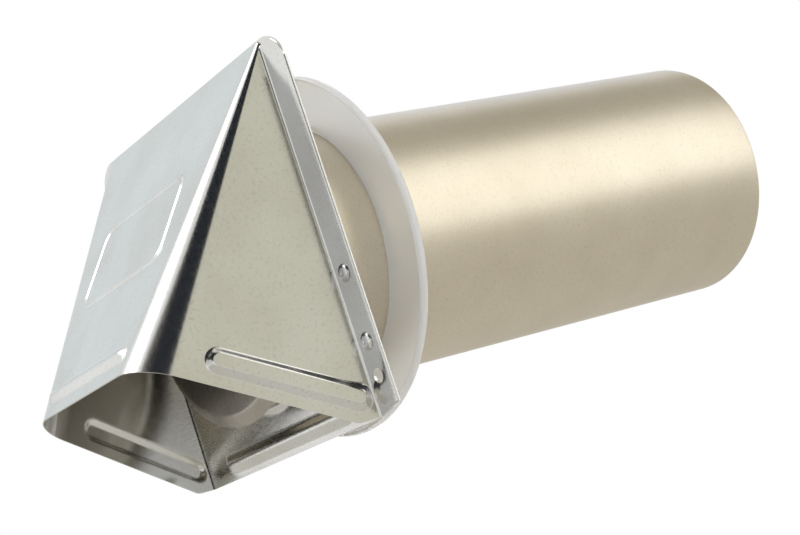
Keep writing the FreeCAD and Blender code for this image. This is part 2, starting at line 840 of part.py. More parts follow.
def make_rivet(label, height):
    """A rivet through the flange and the plate: a domed head in front, set flush behind."""
    front = "-plate_sheet - hood_sheet"
    shank = rod(
        label + "_shank", "rivet_shank_radius", front, "0", "Y", at_x="fastener_half", at_z=height
    )
    ball_radius = "(rivet_head_radius ^ 2 + rivet_head_height ^ 2) / (2 * rivet_head_height)"
    ball = make("Part::Sphere", label + "_ball")
    bind(ball, "Radius", ball_radius)
    bind(ball, "Placement.Base.x", "fastener_half")
    bind(ball, "Placement.Base.y", "%s + %s - rivet_head_height" % (front, ball_radius))
    bind(ball, "Placement.Base.z", height)
    before = box(
        label + "_front",
        ("fastener_half - 2 * rivet_head_radius", "fastener_half + 2 * rivet_head_radius"),
        (front + " - 2 * rivet_head_height", front),
        (height + " - 2 * rivet_head_radius", height + " + 2 * rivet_head_radius"),
    )
    head = make("Part::Common", label + "_head")
    head.Base = ball
    head.Tool = before
    return fuse(label, [shank, head])


def make_rivets():
    group = []
    for name in ("rivet_upper", "rivet_lower"):
        rivet = make_rivet(name, name + "_height")
        group += [rivet, mirrored(name + "_left", rivet)]
    rivets = make("Part::Compound", "rivets")
    rivets.Links = group
    return rivets


NODES = {
    "hood": make_hood,
    "back_plate": make_back_plate,
    "duct_tail": make_duct,
    "trim_ring": make_trim_ring,
    "damper_flap": make_flap,
    "hinge_pin": make_pin,
    "rivets": make_rivets,
}


def check(pieces):
    """Stops if any object failed or any sub-part's shape is missing or invalid."""
    for thing in doc.Objects:
        if "Invalid" in thing.State or "Error" in thing.State:
            raise RuntimeError("%s failed: %s" % (thing.Label, thing.State))
    for name, piece in pieces.items():
        if piece.Shape.isNull() or not piece.Shape.isValid() or not piece.Shape.Solids:
            raise RuntimeError("%s has no valid solid" % name)


def write(pieces):
    os.makedirs("parts", exist_ok=True)
    for name, piece in pieces.items():
        shape = piece.Shape
        print(name, "solids", len(shape.Solids), "volume", round(shape.Volume, 1), shape.BoundBox)
        shape.exportStep("parts/%s.step" % name)


made = {name: maker() for name, maker in NODES.items()}
doc.recompute()
check(made)
write(made)
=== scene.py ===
import bmesh
import bpy
import math
from mathutils import Euler, Matrix, Vector


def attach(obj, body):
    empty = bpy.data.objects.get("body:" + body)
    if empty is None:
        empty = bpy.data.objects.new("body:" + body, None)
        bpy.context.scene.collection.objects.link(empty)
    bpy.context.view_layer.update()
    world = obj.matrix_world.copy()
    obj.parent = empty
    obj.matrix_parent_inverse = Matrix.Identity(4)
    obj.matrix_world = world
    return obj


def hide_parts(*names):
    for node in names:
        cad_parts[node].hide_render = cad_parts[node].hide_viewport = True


# Dryer vent cap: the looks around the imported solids. Sizes are in millimetres, and MM turns them
# into metres.

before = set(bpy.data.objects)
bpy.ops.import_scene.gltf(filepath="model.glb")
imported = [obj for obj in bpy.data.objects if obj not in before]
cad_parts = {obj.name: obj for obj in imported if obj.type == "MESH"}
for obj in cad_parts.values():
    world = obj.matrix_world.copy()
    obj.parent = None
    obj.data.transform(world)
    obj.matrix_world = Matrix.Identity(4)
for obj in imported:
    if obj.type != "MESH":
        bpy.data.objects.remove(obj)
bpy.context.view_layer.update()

MM = 0.001
# Points closer than MERGE (in metres) become one, and TOUCH is how near counts as the same place.
MERGE = 2e-6
TOUCH = 0.01

# The camera stands where the photograph was taken from, near the hood's right front.
CAMERA_PLACE = (0.57368, -0.35607, -0.11105)
CAMERA_TURN = (98.338, 18.326, 55.718)
CAMERA_LENS = 81.068
SENSOR_WIDTH = 36.0

# Faces that meet at less than this many degrees are shaded as one.
CREASE = 35.0

# Floor, world and studio, in metres. The lamps all face the middle of the object.
FLOOR_HEIGHT = -0.30
FLOOR_SIZE = 30.0
FLOOR_GLOW = 1.08
FLOOR_GLOW_SHARE = 0.8
WORLD_LIGHT = 1.4
MIDDLE = (0.0, 0.05, 0.0)
UPWARD = (0.0, 0.0, 1.0)
BACKWARD = (0.0, 1.0, 0.0)
NAVY_ALONG = (-0.1, 0.76, 0.64)
BROWN_ALONG = (0.0, 0.77, -0.64)

# Sheet and hood. The bend between front and sides narrows from the mouth to the apex: its end
# within APEX_REACH of the apex is shrunk to BEND_TAPER of its size. The flange's highest corner is
# picked within TOP_REACH and raised by FLANGE_LIFT.
SHEET = 0.5
HOOD_HALF = 64.0
HOOD_DEPTH = 76.4
APEX = 69.0
MOUTH_HALF = 46.0
MOUTH_FRONT = -32.0
REAR_SET = 9.0
FOOT = -72.0
SIDE_SLOPE = (HOOD_HALF - MOUTH_HALF) / (HOOD_DEPTH - SHEET)
FRONT_SLOPE = (APEX - MOUTH_FRONT) / (HOOD_DEPTH - SHEET)
BEND_SETBACK = 14.5
BEND_STEPS = 16
BEND_TAPER = 0.09
APEX_REACH = 40.0
TOP_REACH = 10.0
FOLD_RADIUS = 0.7
FOLD_STEPS = 4
FOOT_CORNER = 6.0
FOOT_STEPS = 5

# How the folded hood is cut into small faces, finer where the frame and the beads are pressed. An
# edge is cut into rows if it runs from behind BACK_LINE to ahead of MOUTH_LINE.
HOOD_ROWS = 99
FRONT_COLUMNS = 39
SIDE_COLUMNS = 69
BACK_LINE = -3.0
MOUTH_LINE = -8.5
SHORTEST_ACROSS = 5.0
SHORTEST_SIDE_EDGE = 60.0
FINE_FRAME_BAND = 2.0
FINE_FRAME_CUTS = 2
FINE_BEAD_BAND = 7.0

# Flanges and fasteners
FLANGE_FRONT = 1.0
FLANGE_EDGE = 76.4
FLANGE_TOP = 68.2
FLANGE_LIFT = 1.5
FLANGE_RADIUS = 12.0
STRAIGHT_FOOT = -68.8
CORNER_STEPS = 10
FASTENER_LINE = 69.8
SCREW_HEIGHT = -58.5
SCREW_RADIUS = 2.7
SCREW_STEPS = 48
RIVET_HEIGHTS = (-21.0, -46.0)

# Rivets. A point of a line is a place along Y and a radius.
RIVET_RADIUS = 3.2
RIVET_BRIM = 1.15
RIVET_RISE = 1.15
RIVET_ROUNDNESS = 0.8
RIVET_DOME_STEPS = 10
RIVET_STEPS = 48
RIVET_SHANK_LINE = (
    (0.0, 0.0), (0.0, 1.6), (-0.98, 1.65), (-0.98, 3.1), (-1.08, 3.25), (-1.22, RIVET_RADIUS)
)
RIVET_DIMPLE_LINE = ((-1.05 - RIVET_RISE, 0.5), (-0.85 - RIVET_RISE, 0.32), (-0.8 - RIVET_RISE, 0.0))

# Pressed beads and the frame
BEAD_HEIGHT = 2.0
SIDE_BEAD_RISE = 8.8
SIDE_BEAD_START = 21.5
SIDE_BEAD_END = 81.3
SIDE_BEAD_HALF = 5.0
SIDE_BEAD_FLAT = 2.0
SIDE_BEAD_SHARE = 0.75
FRONT_BEAD_LENGTH = 68.0
FRONT_BEAD_HALF = 4.0
FRONT_BEAD_DOWN = 117.7
FRAME_DROP = 62.5
FRAME_WIDTH = 68.0
FRAME_HEIGHT = 37.0
FRAME_CORNER = 7.0
FRAME_RIDGE = 2.0
FRAME_RIDGE_HALF = 1.2
FRAME_RISE = 0.6

# Back plate
PLATE_HALF = 77.0
PLATE_RADIUS = 12.6
PLATE_RINGS = 29
PLATE_CLEAR = 56.0
PLATE_REACH = 115.0
PLATE_STEPS = 240
SEAT_DEPTH = 1.4
SEAT_EDGE = 52.75
SEAT_BLEND = 0.35
SEAT_ROUND = 0.15
HEM_ROLL = 0.775
HEM_LIP = 1.8
HEM_STEPS = 8
PLATE_BEAD_HEIGHT = -65.8
PLATE_BEAD_HALF_LENGTH = 48.0
PLATE_BEAD_HALF = 4.0
EAR_PLACE = 17.2
EAR_RADIUS = 2.2
EAR_ROUND_SHARE = 0.98
EAR_STEPS = 8

# Duct tail. Its rear end's line is in places before the end and steps inwards.
DUCT_RADIUS = 50.8
DUCT_HOLE = 50.95
DUCT_LENGTH = 239.0
DUCT_STEPS = 192
DUCT_RINGS = 40
DUCT_END_START = 1.0
DUCT_END_LINE = ((0.5, 0.04), (0.0, 0.14))
DUCT_BEAD_STEPS = 10
DUCT_BEAD_HALF = 1.8
DUCT_BEAD_RISE = 1.2
DUCT_BEAD_FRONT = -3.757
DUCT_BEAD_REAR = 0.457
COLLAR_REACH = -17.0
COLLAR_SET = 5.982
SEAM_ANGLE = 225.0
SEAM_WIDTH = 6.0
SEAM_RISE = 0.2

# Trim ring. A point of a line is a place along Y, from the web's front or rear face, and a radius.
RING_FRONT = 34.0
RING_WEB = 1.2
RING_BORE = 51.1
RING_RADIUS = 71.0
RING_LIP = 1.3
RING_LIP_FOOT = RING_RADIUS - RING_LIP
RING_LIP_RISE = 1.3
RING_LIP_SHIFT = 0.3
RING_LIP_STEPS = 8
RING_COLLAR = 1.4
RING_COLLAR_REAR = 3.0
RING_STEPS = 192
RING_FRONT_LINE = (
    (0.0, RING_BORE), (0.0, RING_BORE + 0.4), (0.0, RING_LIP_FOOT - 0.6), (-0.35, RING_LIP_FOOT)
)
RING_REAR_LINE = (
    (0.5, RING_LIP_FOOT),
    (0.0, RING_LIP_FOOT - 0.8),
    (0.0, RING_BORE + RING_COLLAR + 0.5),
    (0.5, RING_BORE + RING_COLLAR),
    (RING_COLLAR_REAR - 0.3, RING_BORE + 0.75),
    (RING_COLLAR_REAR, RING_BORE + 0.45),
    (RING_COLLAR_REAR, RING_BORE),
)

# Damper flap and pin. A point of the flap's line is a depth and a radius, and one of the pin's line
# is a place along X and a radius.
FLAP_SHEET = 0.4
FLAP_FLAT = 51.8
FLAP_RADIUS = 56.5
FLAP_TOP_CUT = 3.2
FLAP_DROP = 56.291
FLAP_SET = 11.183
FLAP_TILT = 5.0
FLAP_STEPS = 160
FLAP_LINE = (
    (0.0, 0.0), (0.0, 20.0), (0.0, 40.0), (0.0, FLAP_FLAT - 1.0), (0.12, FLAP_FLAT),
    (0.6, FLAP_FLAT + 1.0), (2.2, FLAP_RADIUS - 1.0), (2.7, FLAP_RADIUS - 0.4), (3.0, FLAP_RADIUS - 0.1),
)
TAB_WIDTH = 8.0
TAB_OUTER = 16.9
TAB_FOOT = 5.0
TAB_CURL = 300.0
TAB_STEPS = 20
KNUCKLE_BORE = 0.88
HINGE_SET = 5.4
HINGE_HEIGHT = 56.0
PIN_HALF = 19.3
PIN_STEPS = 32
PIN_LINE = (
    (0, 0.8), (PIN_HALF - 0.15, 0.8), (PIN_HALF, 0.95), (PIN_HALF + 0.02, 1.3), (PIN_HALF + 0.12, 1.45),
    (PIN_HALF + 0.42, 1.48), (PIN_HALF + 0.55, 1.3), (PIN_HALF + 0.6, 0.6), (PIN_HALF + 0.6, 0.0),
)

# Colours are linear values as the shaders take them.
WHITE = (1.0, 1.0, 1.0, 1.0)
HOOD_BRIGHT = (0.74, 0.74, 0.72, 1.0)
HOOD_DULL = (0.66, 0.65, 0.62, 1.0)
DUCT_BRIGHT = (0.71, 0.65, 0.53, 1.0)
DUCT_DULL = (0.66, 0.60, 0.48, 1.0)
# The flap's two tones are far darker than the hood's sheet: painted shade for the flap's place inside
# the hood.
FLAP_PAINTED_SHADE_BRIGHT = (0.46, 0.43, 0.39, 1.0)
FLAP_PAINTED_SHADE_DULL = (0.36, 0.34, 0.30, 1.0)
STEEL = (0.50, 0.50, 0.50, 1.0)
STEEL_DULL = (0.36, 0.36, 0.36, 1.0)
RING_PALE = (0.92, 0.915, 0.90, 1.0)
RING_WARM = (0.84, 0.815, 0.75, 1.0)
FLOOR_PALE = (0.80, 0.80, 0.80, 1.0)
SKY_PALE = (0.80, 0.82, 0.86, 1.0)

# Grain: how much finer the noise is along X, Y and Z, so it looks drawn out the other way.
GRAIN_UP = (60.0, 60.0, 6.0)
GRAIN_ACROSS = (6.0, 60.0, 60.0)
GRAIN_WIRE = (2.0, 60.0, 60.0)
GRAIN_EVEN = (1.0, 1.0, 1.0)

# Lamps: name, place, width, height, power, colour.
LAMPS = (
    ("side_softbox", (1.00, 0.93, 0.40), 0.8, 1.2, 2.45, (1.0, 0.985, 0.95)),
    ("front_softbox", (-0.35, -0.75, 1.0), 0.7, 0.7, 4.0, (0.97, 0.98, 1.0)),
)

# Cards that only mirror reflections see: name, way from the object, way of the height, distance,
# width, height, colour. From the camera's place the near side panel mirrors the beige one, the half
# of the bend next to it the navy one, the front panel the cool one and the front end of the side
# bead the slate one. The tail mirrors the brown and rear ones on its upper side and the floor card
# below. The dim card stands below the slate one, and the pale card above the beige one.
CARDS = (
    ("beige_card", (0.93, 0.12, 0.36), UPWARD, 2.0, 1.7, 3.6, (0.70, 0.685, 0.575, 1.0)),
    ("slate_card", (0.48, -0.69, 0.58), UPWARD, 1.7, 1.3, 0.72, (0.05, 0.045, 0.04, 1.0)),
    ("dim_card", (0.45, -0.88, 0.14), UPWARD, 1.7, 0.9, 0.8, (0.70, 0.71, 0.73, 1.0)),
    ("navy_card", (0.68, -0.39, 0.61), NAVY_ALONG, 1.6, 1.5, 1.7, (0.012, 0.016, 0.024, 1.0)),
    ("cool_card", (-0.86, 0.04, 0.45), UPWARD, 2.0, 1.6, 1.4, (0.80, 0.85, 0.87, 1.0)),
    ("brown_card", (0.05, 0.64, 0.77), BROWN_ALONG, 1.7, 1.2, 1.6, (0.47, 0.45, 0.40, 1.0)),
    ("rear_card", (-0.78, 0.62, 0.30), UPWARD, 2.0, 1.4, 1.6, (0.95, 1.02, 1.22, 1.0)),
    ("pale_card", (0.55, 0.15, 0.82), BACKWARD, 1.9, 1.1, 1.2, (0.72, 0.70, 0.60, 1.0)),
    ("floor_card", (0.0, 0.0, -1.0), BACKWARD, 0.28, 3.0, 3.0, (0.64, 0.62, 0.57, 1.0)),
)


# Camera, floor and light


def set_camera():
    """The camera at the photograph's viewing angle."""
    data = bpy.data.cameras.new("camera")
    data.lens = CAMERA_LENS
    data.sensor_width = SENSOR_WIDTH
    camera = bpy.data.objects.new("camera", data)
    camera.location = CAMERA_PLACE
    camera.rotation_euler = Euler([math.radians(turn) for turn in CAMERA_TURN])
    bpy.context.scene.collection.objects.link(camera)
    bpy.context.scene.camera = camera


def direct_rays(nodes, links):
    """1 for rays from the camera and those mirrored or let through by a surface, else 0."""
    path = nodes.new("ShaderNodeLightPath")
    total = None
    for ray in ("Is Camera Ray", "Is Glossy Ray", "Is Transmission Ray"):
        if total is None:
            total = path.outputs[ray]
            continue
        either = nodes.new("ShaderNodeMath")
        either.operation = "MAXIMUM"
        links.new(total, either.inputs[0])
        links.new(path.outputs[ray], either.inputs[1])
        total = either.outputs[0]
    return total


def set_world():
    """White where it is seen or mirrored, and a soft even light on everything else."""
    world = bpy.data.worlds.new("studio")
    bpy.context.scene.world = world
    world.use_nodes = True
    nodes, links = world.node_tree.nodes, world.node_tree.links
    nodes.clear()
    lit = nodes.new("ShaderNodeBackground")
    lit.inputs["Color"].default_value = SKY_PALE
    lit.inputs["Strength"].default_value = WORLD_LIGHT
    plain = nodes.new("ShaderNodeBackground")
    plain.inputs["Color"].default_value = WHITE
    plain.inputs["Strength"].default_value = 1.0
    mix = nodes.new("ShaderNodeMixShader")
    links.new(direct_rays(nodes, links), mix.inputs["Fac"])
    links.new(lit.outputs[0], mix.inputs[1])
    links.new(plain.outputs[0], mix.inputs[2])
    out = nodes.new("ShaderNodeOutputWorld")
    links.new(mix.outputs[0], out.inputs["Surface"])


def add_floor():
    """A pale floor that glows in part, so that it is white and still takes the object's shadow."""
    bpy.ops.mesh.primitive_plane_add(size=FLOOR_SIZE, location=(0, 0, FLOOR_HEIGHT))
    floor = bpy.context.object
    floor.name = "floor"
    material, nodes, links = new_material("pale_floor")
    surface = nodes["Principled BSDF"]
    surface.inputs["Base Color"].default_value = FLOOR_PALE
    surface.inputs["Roughness"].default_value = 0.9
    glow = nodes.new("ShaderNodeEmission")
    glow.inputs["Color"].default_value = WHITE
    glow.inputs["Strength"].default_value = FLOOR_GLOW
    share = nodes.new("ShaderNodeMath")
    share.operation = "MULTIPLY"
    share.inputs[1].default_value = FLOOR_GLOW_SHARE
    links.new(direct_rays(nodes, links), share.inputs[0])
    mix = nodes.new("ShaderNodeMixShader")
    links.new(share.outputs[0], mix.inputs["Fac"])
    links.new(surface.outputs[0], mix.inputs[1])
    links.new(glow.outputs[0], mix.inputs[2])
    links.new(mix.outputs[0], nodes["Material Output"].inputs["Surface"])
    floor.data.materials.append(material)


def add_card(name, way, along, distance, width, height, colour):
    """A studio card that only mirror reflections see, with its back to a way from the object."""
    bpy.ops.object.select_all(action="DESELECT")
    away = Vector(way).normalized()
    up = Vector(along)
    up = (up - away * up.dot(away)).normalized()
    bpy.ops.mesh.primitive_plane_add(size=1.0, location=away * distance)
    card = bpy.context.object
    card.name = name
    card.rotation_euler = Matrix((up.cross(away), up, away)).transposed().to_euler()
    card.scale = (width, height, 1.0)
    material, nodes, links = new_material(name)
    glow = nodes.new("ShaderNodeEmission")
    glow.inputs["Color"].default_value = colour
    links.new(glow.outputs[0], nodes["Material Output"].inputs["Surface"])
    card.data.materials.append(material)
    card.visible_camera = False
    card.visible_diffuse = False
    card.visible_shadow = False
    card.visible_transmission = False


def add_lamp(name, place, width, height, power, colour):
    """A soft box that faces the middle of the object."""
    data = bpy.data.lights.new(name, "AREA")
    data.shape = "RECTANGLE"
    data.size = width
    data.size_y = height
    data.energy = power
    data.color = colour
    lamp = bpy.data.objects.new(name, data)
    lamp.location = place
    ahead = Vector(MIDDLE) - Vector(place)
    lamp.rotation_euler = ahead.to_track_quat("-Z", "Y").to_euler()
    bpy.context.scene.collection.objects.link(lamp)


def set_studio():
    """The soft boxes and the cards round the object."""
    for lamp in LAMPS:
        add_lamp(*lamp)
    for card in CARDS:
        add_card(*card)


# Materials


def new_material(name):
    """A new material, with its nodes and links."""
    material = bpy.data.materials.new(name)
    material.use_nodes = True
    return material, material.node_tree.nodes, material.node_tree.links


def noise_on(nodes, links, grain, scale, detail):
    """Noise on object coordinates, finer or coarser along each axis."""
    place = nodes.new("ShaderNodeTexCoord")
    mapping = nodes.new("ShaderNodeMapping")
    mapping.inputs["Scale"].default_value = grain
    noise = nodes.new("ShaderNodeTexNoise")
    noise.inputs["Scale"].default_value = scale
    noise.inputs["Detail"].default_value = detail
    links.new(place.outputs["Object"], mapping.inputs["Vector"])
    links.new(mapping.outputs["Vector"], noise.inputs["Vector"])
    return noise.outputs["Fac"]


def spread(nodes, links, source, limits=(0.0, 1.0), result=(0.0, 1.0)):
    """Maps a value between two limits to a value between two results."""
    span = nodes.new("ShaderNodeMapRange")
    span.inputs["From Min"].default_value = limits[0]
    span.inputs["From Max"].default_value = limits[1]
    span.inputs["To Min"].default_value = result[0]
    span.inputs["To Max"].default_value = result[1]
    links.new(source, span.inputs["Value"])
    return span.outputs["Result"]


def blend_colours(nodes, links, factor, first, second):
    """A blend of two colours, each a plain colour or another node's output."""
    mix = nodes.new("ShaderNodeMix")
    mix.data_type = "RGBA"
    for socket, colour in (("A", first), ("B", second)):
        if isinstance(colour, tuple):
            mix.inputs[socket].default_value = colour
        else:
            links.new(colour, mix.inputs[socket])
    links.new(factor, mix.inputs["Factor"])
    return mix.outputs["Result"]


def add_relief(nodes, links, source, strength, depth):
    """Lets a value raise the surface a little."""
    relief = nodes.new("ShaderNodeBump")
    relief.inputs["Strength"].default_value = strength
    relief.inputs["Distance"].default_value = depth
    links.new(source, relief.inputs["Height"])
    links.new(relief.outputs["Normal"], nodes["Principled BSDF"].inputs["Normal"])


def sheet_metal(name, bright, dull, rough, grain, scale, bump):
    """Rolled sheet: a fine grain along the rolling direction, cloudy stains, specks and a soft gloss."""
    material, nodes, links = new_material(name)
    surface = nodes["Principled BSDF"]
    surface.inputs["Metallic"].default_value = 1.0
    clouds = spread(nodes, links, noise_on(nodes, links, GRAIN_EVEN, 30.0, 6.0), (0.35, 0.68))
    fine = noise_on(nodes, links, grain, scale, 3.0)
    speckle = noise_on(nodes, links, GRAIN_EVEN, 900.0, 2.0)
    specks = spread(nodes, links, speckle, (0.55, 0.70), (0.0, 0.30))
    colour = blend_colours(nodes, links, clouds, bright, dull)
    dark = tuple(0.75 * value for value in dull[:3]) + (1.0,)
    links.new(blend_colours(nodes, links, specks, colour, dark), surface.inputs["Base Color"])
    links.new(spread(nodes, links, fine, (0.3, 0.7), rough), surface.inputs["Roughness"])
    add_relief(nodes, links, fine, bump, 0.0004)
    return material


def ring_plastic():
    """Natural translucent plastic, slightly warmer in places."""
    material, nodes, links = new_material("natural_plastic")
    surface = nodes["Principled BSDF"]
    clouds = spread(nodes, links, noise_on(nodes, links, GRAIN_EVEN, 12.0, 3.0), (0.3, 0.7))
    links.new(blend_colours(nodes, links, clouds, RING_PALE, RING_WARM), surface.inputs["Base Color"])
    surface.inputs["Roughness"].default_value = 0.42
    surface.inputs["Transmission Weight"].default_value = 0.6
    surface.inputs["Subsurface Weight"].default_value = 0.6
    surface.inputs["Subsurface Radius"].default_value = (0.004, 0.0035, 0.003)
    surface.inputs["Subsurface Scale"].default_value = 1.0
    add_relief(nodes, links, noise_on(nodes, links, GRAIN_EVEN, 900.0, 2.0), 0.05, 0.0003)
    return material


# Working in edit mode


def pick(kind, test):
    """In edit mode, selects only the vertices, edges or faces whose corners all pass the test."""
    bpy.ops.mesh.select_mode(type=kind)
    bpy.ops.mesh.select_all(action="DESELECT")
    piece = bpy.context.edit_object.data
    mesh = bmesh.from_edit_mesh(piece)
    for item in {"VERT": mesh.verts, "EDGE": mesh.edges, "FACE": mesh.faces}[kind]:
        corners = [item.co] if kind == "VERT" else [corner.co for corner in item.verts]
        if test(*corners):
            item.select_set(True)
    bmesh.update_edit_mesh(piece)


def pick_all():
    """In edit mode, selects the whole piece."""
    bpy.ops.mesh.select_mode(type="VERT")
    bpy.ops.mesh.select_all(action="SELECT")


def near(first, second, reach=TOUCH):
    """Whether two points are closer than a reach in millimetres."""
    return (first - second).length < reach * MM


def move_corner(old, new):
    """Moves the corner at one point to another."""
    pick("VERT", lambda place: near(place, old))
    bpy.ops.transform.translate(value=new - old)


def extrude(step):
    """Draws what is selected out by one step."""
    bpy.ops.mesh.extrude_region_move(TRANSFORM_OT_translate={"value": step})


def trim(place, outward):
    """Cuts off what lies beyond a plane, of the part of the piece that is selected."""
    bpy.ops.mesh.bisect(plane_co=place, plane_no=outward, clear_outer=True, threshold=1e-7)


def face_outwards(place, outward):
    """Turns all faces the same way, so that the one nearest to a place faces a direction."""
    pick_all()
    bpy.ops.mesh.normals_make_consistent(inside=False)
    mesh = bmesh.from_edit_mesh(bpy.context.edit_object.data)
    nearest = min(mesh.faces, key=lambda face: (face.calc_center_median() - place).length)
    if nearest.normal.dot(outward) < 0:
        bpy.ops.mesh.flip_normals()


def start_piece(name):
    """A new piece, one small square in edit mode."""
    bpy.ops.object.select_all(action="DESELECT")
    bpy.ops.mesh.primitive_plane_add(size=2 * MM)
    piece = bpy.context.object
    piece.name = name
    piece.data.name = name
    bpy.ops.object.mode_set(mode="EDIT")
    return piece


def draw_line(name, spots, closed=False):
    """A new piece that is one line through points, drawn by extruding a vertex."""
    piece = start_piece(name)
    bpy.ops.mesh.select_all(action="SELECT")
    bpy.ops.mesh.merge(type="CENTER")
    bpy.ops.transform.translate(value=spots[0])
    for before, after in zip(spots, spots[1:]):
        extrude(after - before)
    if closed:
        extrude(spots[0] - spots[-1])
        bpy.ops.mesh.select_all(action="SELECT")
        bpy.ops.mesh.remove_doubles(threshold=MERGE)
    return piece


def spin_line(steps, centre=(0.0, 0.0, 0.0), axis=(0.0, 1.0, 0.0)):
    """Turns the line into a round shell."""
    bpy.ops.mesh.select_all(action="SELECT")
    bpy.ops.mesh.spin(steps=steps, angle=math.tau, center=centre, axis=axis)
    bpy.ops.mesh.select_all(action="SELECT")
    bpy.ops.mesh.remove_doubles(threshold=MERGE)


def leave_edit():
    """Ends edit mode."""
    bpy.ops.object.mode_set(mode="OBJECT")


def apply_modifier(piece, kind, **settings):
    """Adds a modifier to a piece and applies it at once."""
    modifier = piece.modifiers.new(kind.lower(), kind)
    for setting, value in settings.items():
        setattr(modifier, setting, value)
    bpy.ops.object.modifier_apply(modifier=modifier.name)


def give_thickness(piece, thickness):
    """Gives a sheet its wall, behind the face that was drawn."""
    apply_modifier(piece, "SOLIDIFY", thickness=thickness, offset=-1.0, use_even_offset=True)


def press(piece, name, height, weight):
    """Pushes the sheet out along its normals by a height times the weight at each point."""
    group = piece.vertex_groups.new(name=name)
    for vertex in piece.data.vertices:
        share = weight(vertex.co)
        if share > 0:
            group.add([vertex.index], share, "REPLACE")
    apply_modifier(piece, "DISPLACE", vertex_group=name, strength=height, mid_level=0.0)
    piece.vertex_groups.clear()


def join_into(piece, others):
    """Makes other pieces part of this one."""
    bpy.ops.object.select_all(action="DESELECT")
    for other in others:
        other.select_set(True)
    piece.select_set(True)
    bpy.context.view_layer.objects.active = piece
    bpy.ops.object.join()


def punch_screw_holes(piece, middle, depth):
    """The two screw holes, cut along Y by a pair of rods."""
    bpy.ops.object.select_all(action="DESELECT")
    rods = []
    for side in (-1, 1):
        bpy.ops.mesh.primitive_cylinder_add(
            vertices=SCREW_STEPS,
            radius=SCREW_RADIUS * MM,
            depth=depth * MM,
            location=spot(side * FASTENER_LINE, middle, SCREW_HEIGHT),
            rotation=(math.pi / 2, 0, 0),
        )
        rods.append(bpy.context.object)
    for rod in rods:
        rod.select_set(True)
    bpy.ops.object.join()
    cutter = bpy.context.object
    bpy.context.view_layer.objects.active = piece
    apply_modifier(piece, "BOOLEAN", object=cutter, operation="DIFFERENCE", solver="EXACT")
    bpy.data.objects.remove(cutter)


def finish_piece(piece, body, nodes, material):
    """Smooths a piece, gives it its finish, hangs it under its body and hides the imported nodes it
    stands in for.
    """
    leave_edit()
    bpy.ops.object.select_all(action="DESELECT")
    piece.select_set(True)
    bpy.context.view_layer.objects.active = piece
    bpy.ops.object.shade_smooth_by_angle(angle=math.radians(CREASE))
    piece.data.materials.clear()
    piece.data.materials.append(material)
    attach(piece, body)
    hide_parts(*nodes)


def spot(x, y, z):
    """A point given in millimetres."""
    return Vector((x, y, z)) * MM


def bump_share(distance, half):
    """A soft ridge: 1 on its middle line, 0 from half its width outwards."""
    if abs(distance) >= half:
        return 0.0
    return math.cos(math.pi / 2 * distance / half) ** 2


def distance_to_run(place, start, end):
    """How far a point lies from the straight run between two points."""
    run = end - start
    share = max(0.0, min(1.0, (place - start).dot(run) / run.length_squared))
    return (place - start - run * share).length


def rounded_box_distance(across, up, half_width, half_height, corner):
    """How far outside a rounded rectangle a point lies, below zero inside it."""
    over_x = abs(across) - half_width + corner
    over_y = abs(up) - half_height + corner
    outside = math.hypot(max(over_x, 0.0), max(over_y, 0.0))
    return outside + min(max(over_x, over_y), 0.0) - corner


# Hood


def side_spot(y, z):
    """The point of the right side panel at a depth and a height in millimetres."""
    return spot(HOOD_HALF + SIDE_SLOPE * (y + SHEET), y, z)


def apex_spot():
    """The right end of the hood's top line, where the front panel, the side and the flange meet."""
    return side_spot(-FLANGE_FRONT, APEX - (FLANGE_FRONT - SHEET) * FRONT_SLOPE)


def side_bead_ends():
    """The ends of the right side panel's bead, which runs along the panel's lower edge."""
    front = side_spot(-HOOD_DEPTH, MOUTH_FRONT)
    rear = side_spot(-REAR_SET, FOOT)
    edge = Vector((0.0, (rear - front).y, (rear - front).z)).normalized()
    square = Vector((0.0, -edge.z, edge.y))
    ends = []
    for along in (SIDE_BEAD_START, SIDE_BEAD_END):
        place = edge * along + square * SIDE_BEAD_RISE
        ends.append(side_spot(-HOOD_DEPTH + place.y, MOUTH_FRONT + place.z))
    return ends


def front_down(place):
    """How far down the front panel a point lies from the apex, in metres."""
    slope = Vector((0.0, -(HOOD_DEPTH - SHEET), -(APEX - MOUTH_FRONT))).normalized()
    return (place - spot(0, -SHEET, APEX)).dot(slope)


def on_front(place):
    """Whether a point is on the front panel's plane."""
    normal = Vector((0.0, -(APEX - MOUTH_FRONT), HOOD_DEPTH - SHEET)).normalized()
    return abs((place - spot(0, -SHEET, APEX)).dot(normal)) < 0.02 * MM


def frame_line_distance(place):
    """How far a point of the front panel lies from the middle line of the pressed frame."""
    edge = rounded_box_distance(
        place.x,
        front_down(place) - FRAME_DROP * MM,
        FRAME_WIDTH / 2 * MM,
        FRAME_HEIGHT / 2 * MM,
        FRAME_CORNER * MM,
    )
    return edge + FRAME_RIDGE / 2 * MM


